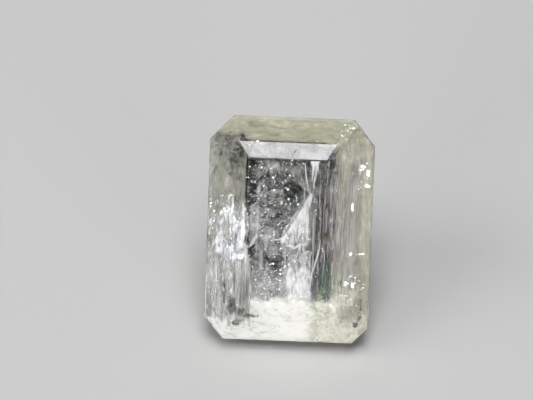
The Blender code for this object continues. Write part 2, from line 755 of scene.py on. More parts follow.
DRIFT_VEIL = VeilFinish("drift_veil", (
    (0.30, 0.24, 0.24, 0.20),
    (0.43, 0.39, 0.40, 0.34),
    (0.53, 0.49, 0.48, 0.43),
    (0.62, 0.58, 0.58, 0.52),
    (0.72, 0.80, 0.79, 0.77),
), (0.36, 0.9, 0.5), grain=0.5, contrast=1.2, softness=0.6, opacity=0.94, wisps=0.2,
    wisp_cell=(0.3, 0.8, 0.4), wisp_width=0.014, wisp_colour=(0.80, 0.79, 0.76), detail=3.0)
BEIGE_VEIL = VeilFinish("beige_veil", (
    (0.32, 0.42, 0.39, 0.33),
    (0.44, 0.59, 0.56, 0.51),
    (0.54, 0.69, 0.67, 0.62),
    (0.64, 0.93, 0.91, 0.87),
), (0.24, 0.8, 0.5), grain=0.6, contrast=1.2, softness=0.55, opacity=0.95, wisps=0.5,
    wisp_cell=(0.22, 0.6, 0.4), wisp_width=0.016, wisp_colour=(0.98, 0.96, 0.92))
STRIATED_VEIL = VeilFinish("striated_veil", (
    (0.33, 0.12, 0.12, 0.12),
    (0.43, 0.40, 0.39, 0.37),
    (0.54, 0.62, 0.61, 0.58),
    (0.66, 1.0, 1.0, 0.98),
), (0.15, 1.7, 0.5), grain=0.8, contrast=2.2, softness=0.5, distortion=0.4, wisps=0.5,
    wisp_cell=(0.18, 1.8, 0.4), wisp_width=0.016, wisp_colour=(0.96, 0.96, 0.94), detail=3.0)
CREAM_VEIL = VeilFinish("cream_veil", (
    (0.34, 0.70, 0.72, 0.72),
    (0.43, 0.93, 0.92, 0.87),
    (0.52, 1.0, 1.0, 0.99),
), (0.5, 0.36, 0.4), grain=0.6, contrast=1.8, softness=0.5, wisps=0.8, wisp_cell=(0.4, 0.3, 0.4),
    wisp_width=0.02, wisp_colour=(1.0, 1.0, 1.0))
STRAW_VEIL = VeilFinish("straw_veil", (
    (0.34, 0.56, 0.54, 0.44),
    (0.44, 0.78, 0.76, 0.67),
    (0.54, 0.89, 0.89, 0.81),
    (0.64, 1.0, 1.0, 0.97),
), (0.34, 0.42, 0.4), grain=0.6, contrast=1.8, softness=0.5, wisps=0.7, wisp_cell=(0.3, 0.34, 0.3),
    wisp_width=0.018, wisp_colour=(1.0, 1.0, 0.98))
EDGE_VEIL = VeilFinish("edge_veil", (
    (0.34, 0.66, 0.65, 0.55),
    (0.46, 0.81, 0.80, 0.69),
    (0.56, 0.92, 0.91, 0.82),
    (0.66, 1.0, 1.0, 0.95),
), (0.30, 0.9, 0.4), grain=0.4, contrast=1.1, softness=0.9, wisps=0.4, wisp_cell=(0.3, 0.5, 0.3),
    wisp_width=0.014, wisp_colour=(1.0, 1.0, 0.96))
DIM_VEIL = VeilFinish("dim_veil", (
    (0.34, 0.015, 0.025, 0.02),
    (0.44, 0.10, 0.11, 0.105),
    (0.52, 0.25, 0.235, 0.23),
    (0.60, 0.36, 0.38, 0.36),
    (0.70, 0.72, 0.72, 0.72),
), (0.7, 0.7, 0.6), grain=0.6, contrast=1.3, softness=0.5, opacity=0.93, wisps=0.4,
    wisp_cell=(0.6, 0.5, 0.5), wisp_width=0.012, wisp_colour=(0.72, 0.73, 0.72))
WISP_VEIL = VeilFinish("wisp_veil", (
    (0.36, 0.58, 0.58, 0.60),
    (0.48, 0.84, 0.82, 0.83),
    (0.60, 1.0, 1.0, 1.0),
), (0.4, 0.4, 0.3), grain=0.6, contrast=2.0, softness=0.7, opacity=0.7, wisps=0.8, wisp_cell=(0.6, 0.45, 0.4),
    wisp_width=0.012, roughness=0.4, metallic=0.2, relief=0.4, detail=3.0)
SMOKY_VEIL = VeilFinish("smoky_veil", (
    (0.38, 0.05, 0.05, 0.05),
    (0.62, 0.30, 0.30, 0.29),
), (0.16, 0.2, 0.2), contrast=3.4, softness=0.5, opacity=0.8)
VIOLET_VEIL = VeilFinish("violet_veil", (
    (0.36, 0.28, 0.16, 0.27),
    (0.62, 0.62, 0.48, 0.58),
), (0.14, 0.30, 0.2), contrast=3.0, softness=0.9, opacity=0.45, detail=3.0)
GREEN_VEIL = VeilFinish("green_veil", (
    (0.36, 0.30, 0.50, 0.36),
    (0.50, 0.60, 0.86, 0.56),
    (0.62, 0.92, 1.0, 0.70),
), (0.05, 0.07, 0.1), contrast=5.0, softness=0.6, opacity=0.6)
TEAL_VEIL = VeilFinish("teal_veil", (
    (0.36, 0.14, 0.28, 0.24),
    (0.64, 0.48, 0.62, 0.56),
), (0.14, 0.30, 0.2), contrast=3.0, softness=0.9, opacity=0.45, detail=3.0)
PEARL_VEIL = VeilFinish("pearl_veil", (
    (0.34, 0.66, 0.66, 0.63),
    (0.50, 0.82, 0.82, 0.79),
    (0.64, 0.96, 0.96, 0.94),
), (0.22, 1.2, 0.5), grain=0.6, contrast=2.2, softness=0.8, opacity=0.75)
# Near-black tints: painted shade, for the dark far left corner and dark blotches under the table.
PAINTED_SHADE_VEIL = VeilFinish("painted_shade_veil", (
    (0.36, 0.01, 0.02, 0.015),
    (0.64, 0.14, 0.145, 0.14),
), (0.32, 0.26, 0.3), contrast=3.0, softness=0.6, opacity=0.75)


@dataclass
class CutStone:
    """The clear stone itself, with the facet junctions worn very slightly round.

    Attributes:
        form: The stone's form; not used.
        finish: Its finish.
        junction_width: How far a junction is worn back.
        weld: Distance under which the CAD solid's corners are one corner.
        flat_angle: Angle under which two faces are one facet, in radians.
        segments: Number of faces across a worn junction.
    """

    form: CutForm
    finish: ClearCrystal = field(default_factory=ClearCrystal)
    junction_width: float = 0.005
    weld: float = 1e-4
    flat_angle: float = 0.001
    segments: int = 2

    def build(self) -> bpy.types.Object:
        """Copy the CAD stone, weld it and take its sharp edges off.

        Returns:
            The finished piece.
        """
        shape = bmesh.new()
        shape.from_mesh(frame["nodes"][STONE_NODE].data)
        bmesh.ops.scale(shape, vec=Vector((1 / MM,) * 3), verts=shape.verts[:])
        bmesh.ops.remove_doubles(shape, verts=shape.verts[:], dist=self.weld)
        bmesh.ops.dissolve_limit(
            shape,
            angle_limit=self.flat_angle,
            verts=shape.verts[:],
            edges=shape.edges[:],
        )
        bmesh.ops.bevel(
            shape,
            geom=shape.edges[:],
            offset=self.junction_width,
            offset_type="OFFSET",
            segments=self.segments,
            profile=0.5,
            affect="EDGES",
            clamp_overlap=True,
        )
        bmesh.ops.scale(shape, vec=Vector((MM,) * 3), verts=shape.verts[:])
        mesh = bpy.data.meshes.new("clear_stone")
        shape.to_mesh(mesh)
        shape.free()
        mesh.shade_flat()
        mesh.materials.append(self.finish.make())
        piece = put("clear_stone", mesh)
        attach(piece, "root")
        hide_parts(STONE_NODE)
        return piece


@dataclass
class Veil:
    """A thin closed sheet that follows the facets at some depth, with a soft-edged cover.

    Attributes:
        name: Name of the piece.
        finish: Its finish.
        patches: Where it lies, as seen from the table side.
        depth: Depth below the surface, along the line of sight.
        wave: How much its depth varies, as a share.
        wave_size: Size of the waves in its depth.
        thickness: Its thickness.
        pitch: Spacing of its grid.
        margin: Least distance from it to a facet.
        half_area: Half the width and length of the area that the grid covers.
        least_cover: Cover under which it is left out.
        border: Width over which it fades out towards a facet, as a share of its depth.
        seed: Seed of its waves.
    """

    name: str
    finish: VeilFinish
    patches: tuple[Patch | Strip, ...]
    depth: float
    wave: float = 0.25
    wave_size: float = 0.7
    thickness: float = 0.006
    pitch: float = 0.06
    margin: float = 0.02
    half_area: tuple[float, float] = (3.0, 4.08)
    least_cover: float = 0.02
    border: float = 0.4
    seed: int = 1

    def build(self, form: CutForm) -> bpy.types.Object:
        """Make the sheet.

        The grid point (x, y) lies on the line of sight at depth * (1 + wave * noise(x, y)), and its twin
        one thickness deeper. Cells outside the cover or the stone are left out, and a wall between the
        two layers stands along the border of what is left.

        Args:
            form: The stone's form.

        Returns:
            The finished piece.
        """
        columns = int(round(2 * self.half_area[0] / self.pitch)) + 1
        rows = int(round(2 * self.half_area[1] / self.pitch)) + 1
        x, y = (part.ravel() for part in np.meshgrid(
            np.linspace(-self.half_area[0], self.half_area[0], columns),
            np.linspace(-self.half_area[1], self.half_area[1], rows),
        ))
        cover = np.clip(sum(patch.cover(x, y) for patch in self.patches), 0, 1)
        flat = np.stack((x, y, np.zeros(len(x))), axis=1)
        depth = self.depth * (1 + self.wave * smooth_noise(flat, (self.wave_size,) * 3, 2, self.seed))
        top = form.sight(x, y, depth)
        bottom = form.sight(x, y, depth + self.thickness)
        room = np.min(form.reaches - self.margin - bottom @ form.normals.T, axis=1)
        cover = cover * np.clip(room / (self.border * self.depth), 0, 1)
        good = (cover > 0) & form.inside(top, self.margin)
        good = good.reshape(rows, columns)
        some = (cover > self.least_cover).reshape(rows, columns)
        corners = (slice(None, -1), slice(1, None))
        whole = np.all([good[a, b] for a in corners for b in corners], axis=0)
        kept = whole & np.any([some[a, b] for a in corners for b in corners], axis=0)
        triangles = self.skin(kept, columns, len(x))
        used, triangles = np.unique(triangles, return_inverse=True)
        points = np.concatenate((top, bottom))[used]
        piece = closed_piece(self.name, form, points, triangles.reshape(-1, 3), self.finish.make(form))
        strength = piece.data.attributes.new("cover", "FLOAT", "POINT")
        strength.data.foreach_set("value", np.tile(cover, 2)[used])
        return piece

    def skin(self, kept: Array, columns: int, below: int) -> Array:
        """Return the triangles of both layers and of the wall round them.

        Args:
            kept: Which cells of the grid are part of the sheet.
            columns: Number of points in a row of the grid.
            below: How far the numbers of the lower layer lie above those of the upper layer.

        Returns:
            Three point numbers a row.
        """
        row, column = np.nonzero(kept)
        a = row * columns + column
        b, c, d = a + 1, a + columns, a + columns + 1
        upper = halves(a, b, c, d)
        lower = upper[:, ::-1] + below
        framed = np.pad(kept, 1)
        walls = []
        for beside, start, end in (
            (framed[:-2, 1:-1], a, b),
            (framed[2:, 1:-1], d, c),
            (framed[1:-1, :-2], c, a),
            (framed[1:-1, 2:], b, d),
        ):
            open_side = ~beside[row, column]
            first, second = start[open_side], end[open_side]
            walls.append(halves(first, first + below, second, second + below))
        return np.concatenate((upper, lower, *walls))


class FlakeShape(Enum):
    """Shapes of a flake: how long its four-cornered chip is along its own X, Y and Z axes."""

    CHIP = (1.0, 1.0, 0.6)
    SCALE = (1.0, 0.7, 0.04)
    SPANGLE = (1.0, 0.8, 0.02)


class Facing(Enum):
    """Ways that the flat side of a flake faces, in the stone's axes.

    All but the first bring a soft light to someone who looks straight at the table, by way of the facets
    that the flake lies under.
    """

    TABLE = (0.0, 0.0, 1.0)
    UNDER_TABLE = (0.0, 0.22, 0.97)
    UNDER_RIGHT = (0.35, 0.255, 0.90)
    UNDER_LEFT = (-0.35, 0.255, 0.90)
    UNDER_FAR = (0.10, 0.52, 0.84)


@dataclass
class Scatter:
    """Many small things strewn under the facets, thicker in some patches than in others.

    Attributes:
        name: Name of the piece.
        finish: Its finish.
        patches: Where the things lie, as seen from the table side.
        count: Number of things.
        size: Middle half size across one.
        depths: Least and greatest depth below the surface, along the line of sight.
        grain: Size of the streaks and clots that they lie in, along X, Y and Z.
        contrast: How strongly the streaks and clots stand out.
        size_spread: Spread of the sizes, as the deviation of their logarithm.
        margin: Least distance from the middle of one to a facet.
        surplus: How many places are drawn in a round for each one wanted.
        rounds: Greatest number of rounds of drawing.
        seed: Seed of the random draws.
    """

    name: str
    finish: MineralFinish
    patches: tuple[Patch, ...]
    count: int
    size: float
    depths: tuple[float, float]
    grain: Triple = (0.25, 0.25, 0.25)
    contrast: float = 1.0
    size_spread: float = 0.35
    margin: float = 0.03
    surplus: int = 2
    rounds: int = 60
    seed: int = 1

    def places(self, form: CutForm, rng: np.random.Generator) -> Array:
        """Draw the middles of the things.

        Each patch gets its share of the draws by weight times area. A place is kept with a chance of
        0.5 + contrast * noise, and what would stand too near the surface is dropped.

        Args:
            form: The stone's form.
            rng: Source of the random places.

        Returns:
            The middles, in the stone's axes.
        """
        shares = np.array([patch.weight * patch.half_width * patch.half_height for patch in self.patches])
        draws = np.ceil(self.count * self.surplus * shares / shares.sum()).astype(int)
        found: list[Array] = []
        total = 0
        for _ in range(self.rounds):
            drawn = [patch.draw(count, rng) for patch, count in zip(self.patches, draws)]
            x, y = (np.concatenate(part) for part in zip(*drawn))
            points = form.sight(x, y, rng.uniform(*self.depths, len(x)))
            texture = 0.5 + self.contrast * smooth_noise(points, self.grain, 3, self.seed)
            kept = (texture > rng.uniform(0, 1, len(x))) & form.inside(points, self.margin)
            found.append(points[kept])
            total += int(kept.sum())
            if total >= self.count:
                break
        return rng.permutation(np.concatenate(found))[: self.count]


@dataclass
class Haze(Scatter):
    """A cloud of tiny flakes.

    Attributes:
        shape: Shape of the flakes.
        facing: The way their flat sides face.
        tumble: How far they are turned out of that, 0 for not at all.
    """

    shape: FlakeShape = FlakeShape.CHIP
    facing: Facing = Facing.TABLE
    tumble: float = 1.0

    def flakes(self, centres: Array, sizes: Array, rng: np.random.Generator) -> tuple[Array, Array]:
        """Make one closed flake at each centre.

        A flake's corners are the chip's corners, times its size and shape, turned by three axes: the
        facing and the stone's X axis, plus a random vector of length tumble each, made square to one
        another again.

        Args:
            centres: Centres in the stone's axes.
            sizes: Half size of each flake.
            rng: Source of the random turns.

        Returns:
            The points and the triangles.
        """
        count = len(centres)
        first = np.array([1.0, 0.0, 0.0]) + self.tumble * rng.normal(size=(count, 3))
        third = unit(np.array(self.facing.value) + self.tumble * rng.normal(size=(count, 3)))
        first = unit(first - third * np.sum(first * third, axis=1, keepdims=True))
        turned = np.stack((first, np.cross(third, first), third), axis=1)
        local = np.array(CHIP_CORNERS) * np.array(self.shape.value)
        points = np.einsum("kc,ncd->nkd", local, turned) * sizes[:, None, None] + centres[:, None, :]
        triangles = np.array(CHIP_FACES)[None] + (np.arange(count) * len(local))[:, None, None]
        return points.reshape(-1, 3), triangles.reshape(-1, 3)

    def build(self, form: CutForm) -> bpy.types.Object:
        """Make the cloud.

        Args:
            form: The stone's form.

        Returns:
            The finished piece.
        """
        rng = np.random.default_rng(self.seed)
        centres = self.places(form, rng)
        sizes = self.size * np.exp(rng.normal(0, self.size_spread, len(centres)))
        sizes = np.minimum(sizes, self.margin / max(self.shape.value))
        return closed_piece(self.name, form, *self.flakes(centres, sizes, rng), self.finish.make(), flat=True)


@dataclass
class GrowthTubes(Scatter):
    """Straight, hair-thin tubes that run along the stone, each pointed at both ends.

    Attributes:
        contrast: How strongly the streaks that they lie in stand out.
        size_spread: Spread of their widths, as the deviation of their logarithm.
        half_lengths: Least and greatest half length.
        lean: How far they are turned to the left, in degrees.
        spread: How far they stray from that, in degrees.
        bow: How far they bow aside.
        rings: Number of rings along each tube.
        sides: Number of sides round it.
    """

    contrast: float = 0.0
    size_spread: float = 0.4
    half_lengths: tuple[float, float] = (0.15, 0.7)
    lean: float = 0.0
    spread: float = 1.5
    bow: float = 0.02
    rings: int = 7
    sides: int = 4

    def build(self, form: CutForm) -> bpy.types.Object:
        """Make all the tubes as one piece.

        At a share s of its length a tube's half width is size * sqrt(sin(pi s)), and its axis bows aside
        by a small sine.

        Args:
            form: The stone's form.

        Returns:
            The finished piece.
        """
        rng = np.random.default_rng(self.seed)
        middles = self.places(form, rng)
        half = rng.uniform(*self.half_lengths, len(middles))
        turn = np.radians(self.lean + rng.normal(0, self.spread, len(middles)))
        tilt = np.radians(rng.normal(0, self.spread, len(middles)))
        ahead = np.stack((-np.sin(turn), np.cos(turn) * np.cos(tilt), np.sin(tilt)), axis=1)
        side = unit(np.cross(ahead, np.array([0.0, 0.0, 1.0])))
        thick = np.cross(side, ahead)
        share = np.linspace(0, 1, self.rings)
        bow = rng.normal(0, self.bow, len(middles))[:, None] * np.sin(np.pi * share)
        spine = (middles[:, None] + (share * 2 - 1)[None, :, None] * (half[:, None] * ahead)[:, None]
                 + bow[..., None] * side[:, None])
        kept = form.inside(spine.reshape(-1, 3), self.margin).reshape(spine.shape[:2]).all(axis=1)
        spine, side, thick = spine[kept], side[kept], thick[kept]
        width = self.size * np.exp(rng.normal(0, self.size_spread, len(spine)))[:, None] * np.sqrt(
            np.sin(np.pi * share).clip(1e-4))
        angle = np.arange(self.sides) / self.sides * 2 * np.pi
        out = (np.cos(angle)[None, None, :, None] * side[:, None, None]
               + np.sin(angle)[None, None, :, None] * thick[:, None, None])
        points = spine[:, :, None] + width[:, :, None, None] * out
        last = (self.rings - 1) * self.sides
        fan = np.array([(0, place, place + 1) for place in range(1, self.sides - 1)])
        one = np.concatenate((tube_walls(self.rings, self.sides), fan[:, (0, 2, 1)], fan + last))
        every = one[None] + (np.arange(len(spine)) * self.rings * self.sides)[:, None, None]
        return closed_piece(self.name, form, points.reshape(-1, 3), every.reshape(-1, 3), self.finish.make())


@dataclass(frozen=True)
class Thread:
    """One flattened thread inside the stone, along points that are seen from the table side.

    Attributes:
        points: Its route, as (x, y) places.
        width: Its greatest half width.
        depth: How deep it lies at its start and its end.
        ragged: How uneven its width is.
    """

    points: tuple[tuple[float, float], ...]
    width: float
    depth: tuple[float, float] = (0.4, 0.4)
    ragged: float = 0.5


def smooth_route(points: Array, count: int) -> Array:
    """Return evenly counted points on the Catmull-Rom curve through the given ones.

    Between p1 and p2, at a share t, it is half of
    2 p1 + (p2 - p0) t + (2 p0 - 5 p1 + 4 p2 - p3) t^2 + (3 p1 - p0 - 3 p2 + p3) t^3.

    Args:
        points: Points that the curve passes, one a row.
        count: Number of points wanted.

    Returns:
        The points, one a row.
    """
    padded = np.concatenate((2 * points[:1] - points[1:2], points, 2 * points[-1:] - points[-2:-1]))
    at = np.linspace(0, len(points) - 1 - 1e-9, count)
    k = at.astype(int)
    t = (at - k)[:, None]
    p0, p1, p2, p3 = padded[k], padded[k + 1], padded[k + 2], padded[k + 3]
    return 0.5 * (2 * p1 + (p2 - p0) * t + (2 * p0 - 5 * p1 + 4 * p2 - p3) * t**2
                  + (3 * p1 - p0 - 3 * p2 + p3) * t**3)


@dataclass
class Threads:
    """Bright or dark threads: edges of fractures, flattened and ragged.

    Attributes:
        name: Name of the piece.
        finish: Its finish.
        threads: The threads.
        rings: Number of rings along each thread.
        sides: Number of sides round it.
        flatness: Thickness of a thread as a share of its width.
        nicks: Number of nicks along an edge.
        apart: Distance between two threads on the noise of the nicks.
        other_edge: What is added to the seed for a thread's other edge.
        seed: Seed of the raggedness.
    """

    name: str
    finish: MineralFinish
    threads: tuple[Thread, ...]
    rings: int = 64
    sides: int = 8
    flatness: float = 0.35
    nicks: float = 9.0
    apart: float = 7.3
    other_edge: int = 50
    seed: int = 1

    def thread_surface(self, thread: Thread, number: int, form: CutForm) -> tuple[Array, Array]:
        """Work one thread out as rings along its route.

        The route is a Catmull-Rom curve. At a share s of its length the half width is
        width * sin(pi s)^0.5 * (1 + ragged * noise), with a share of it as the half thickness. The two
        end rings are single points, so the thread is closed.

        Args:
            thread: The thread.
            number: Its number, which picks its noise.
            form: The stone's form.

        Returns:
            The points and the triangles.
        """
        route = smooth_route(np.array(thread.points), self.rings)
        share = np.linspace(0, 1, self.rings)
        depth = thread.depth[0] + (thread.depth[1] - thread.depth[0]) * share
        spine = form.sight(route[:, 0], route[:, 1], depth)
        ahead = unit(np.gradient(spine, axis=0))
        side = unit(np.cross(ahead, np.array([0.0, 0.0, -1.0])))
        thick = np.cross(side, ahead)
        rows = np.full(self.rings, number * self.apart)
        where = np.stack((share * self.nicks, rows, np.zeros(self.rings)), axis=1)
        left, right = (
            1 + thread.ragged * smooth_noise(where, (1.0, 1.0, 1.0), 3, seed)
            for seed in (self.seed, self.seed + self.other_edge)
        )
        width = thread.width * np.sqrt(np.sin(np.pi * share).clip(1e-6))
        angle = np.arange(self.sides) / self.sides * 2 * np.pi
        across = np.cos(angle)
        reach = np.where(across > 0, np.outer(width * left, across), np.outer(width * right, across))
        lift = np.outer(width * self.flatness, np.sin(angle))
        grid = spine[:, None] + reach[..., None] * side[:, None] + lift[..., None] * thick[:, None]
        body = grid[1:-1].reshape(-1, 3)
        ring = np.arange(self.sides)
        following = (ring + 1) % self.sides
        last = (self.rings - 3) * self.sides
        start = np.stack((np.full(self.sides, len(body)), following, ring), -1)
        end = np.stack((np.full(self.sides, len(body) + 1), last + ring, last + following), -1)
        walls = tube_walls(self.rings - 2, self.sides)
        return np.concatenate((body, spine[[0, -1]])), np.concatenate((walls, start, end))

    def build(self, form: CutForm) -> bpy.types.Object:
        """Make all the threads as one piece.

        Args:
            form: The stone's form.

        Returns:
            The finished piece.
        """
        solids = [self.thread_surface(thread, number, form) for number, thread in enumerate(self.threads)]
        return closed_piece(self.name, form, *joined(solids), self.finish.make())


# Veils under the crown's sloping facets, and a painted reflection under the far inner one.
CROWN_VEILS = (
    Veil("far_veil", SAGE_VEIL, (
        Patch(0.0, 3.64, 1.72, 0.56, 1.0, power=12, softness=0.04),
        Patch(-2.2, 3.72, 0.9, 0.45, 0.85, softness=0.9),
        Patch(2.3, 3.50, 0.9, 0.80, 1.0, softness=0.7),
        Patch(1.9, 3.30, 0.4, 0.40, 0.7, softness=0.9),
        Patch(2.30, 2.85, 0.8, 0.35, 0.35, softness=1.0),
    ), 0.14, seed=1),
    # A lavender-grey sheet just under the far inner crown facet: painted reflection of the overhead softbox
    # that this facet mirrors.
    Veil("trapezoid_painted_reflection", PAINTED_REFLECTION_VEIL, (
        Patch(0.0, 2.79, 1.62, 0.28, 0.5, power=10, softness=0.08),
    ), 0.10, seed=2),
    Veil("left_veil", DRIFT_VEIL, (
        Strip(((-2.8, -3.0, -1.56, 0.8), (0.0, -3.0, -1.56, 0.8), (3.0, -3.0, -1.60, 0.95),
               (3.9, -3.0, -1.60, 0.95)), 0.02, 0.03, 0.5),
    ), 0.16, seed=3),
    Veil("left_striae", STRIATED_VEIL, (
        Strip(((-3.2, -3.0, -1.28, 0.85), (-1.3, -3.0, -1.30, 0.85), (-0.5, -3.0, -1.54, 0.5)),
              0.02, 0.06, 0.7),
    ), 0.10, seed=4),
    Veil("left_frost", FROST_VEIL, (
        Patch(-2.28, 0.58, 0.15, 0.20, 0.62, lean=15.0, softness=1.2),
        Patch(-2.16, 0.36, 0.12, 0.26, 0.50, lean=-15.0, softness=1.2),
        Patch(-2.10, 0.80, 0.14, 0.35, 0.35, softness=1.0),
        Patch(-2.02, 0.05, 0.11, 0.60, 0.55, softness=1.1),
        Patch(-2.44, -0.10, 0.13, 0.45, 0.50, softness=1.1),
        Patch(-1.84, 0.30, 0.08, 0.45, 0.40, softness=1.1),
        Patch(-1.67, 0.00, 0.08, 0.72, 1.0, power=4, softness=0.5),
        Patch(-1.76, -0.55, 0.12, 0.30, 0.60, softness=1.0),
        Patch(-1.90, -1.05, 0.16, 0.12, 0.85, softness=1.1),
        Patch(-1.62, -1.00, 0.14, 0.14, 0.75, softness=1.1),
        Patch(-2.20, -0.80, 0.30, 0.30, 0.40, softness=1.1),
        Patch(-2.55, -0.70, 0.16, 0.45, 0.40, softness=1.1),
        Patch(-2.84, 0.40, 0.06, 0.80, 0.45, softness=1.1),
        Patch(-2.20, -0.10, 0.80, 1.00, 0.06, softness=1.0),
        Patch(-2.30, -1.90, 0.60, 1.00, 0.16, softness=1.0),
    ), 0.06, seed=5),
    Veil("right_veil", BEIGE_VEIL, (
        Strip(((-3.0, 1.64, 3.0, 0.9), (3.4, 1.66, 3.0, 0.9)), 0.34, 0.02, 0.9),
    ), 0.16, seed=6),
    Veil("near_veil", CREAM_VEIL, (
        Strip(((-4.45, -1.5, 1.0, 1.0), (-2.50, -1.5, 1.0, 1.0)), 0.2, 0.7, 0.45),
        Strip(((-4.9, -3.0, -1.3, 1.3), (-2.70, -3.0, -1.3, 1.3)), 0.02, 0.3, 0.8),
    ), 0.12, seed=7),
    Veil("near_right_veil", STRAW_VEIL, (
        Strip(((-4.35, 0.75, 3.0, 1.0), (-2.52, 0.75, 1.60, 1.0)), 0.6, 0.2, 0.25),
        Strip(((-4.8, 1.4, 3.0, 1.0), (-2.10, 1.6, 3.0, 0.9)), 0.3, 0.02, 1.2),
        Patch(2.45, -2.30, 0.7, 0.9, 0.4, softness=1.0),
    ), 0.135, seed=8),
    Veil("right_pearl", PEARL_VEIL, (
        Patch(2.22, 0.60, 0.22, 1.9, 0.60, power=3, softness=0.9),
        Patch(2.10, -1.60, 0.16, 1.2, 0.35, power=3, softness=0.9),
    ), 0.11, seed=36),
    Veil("right_straw", EDGE_VEIL, (
        Patch(2.76, 0.40, 0.26, 2.8, 0.70, softness=1.3),
        Patch(1.85, 1.9, 0.10, 1.1, 0.25, power=3, softness=1.0),
        Patch(2.30, 2.95, 0.55, 0.45, 0.35, softness=1.2),
    ), 0.09, seed=37),
)
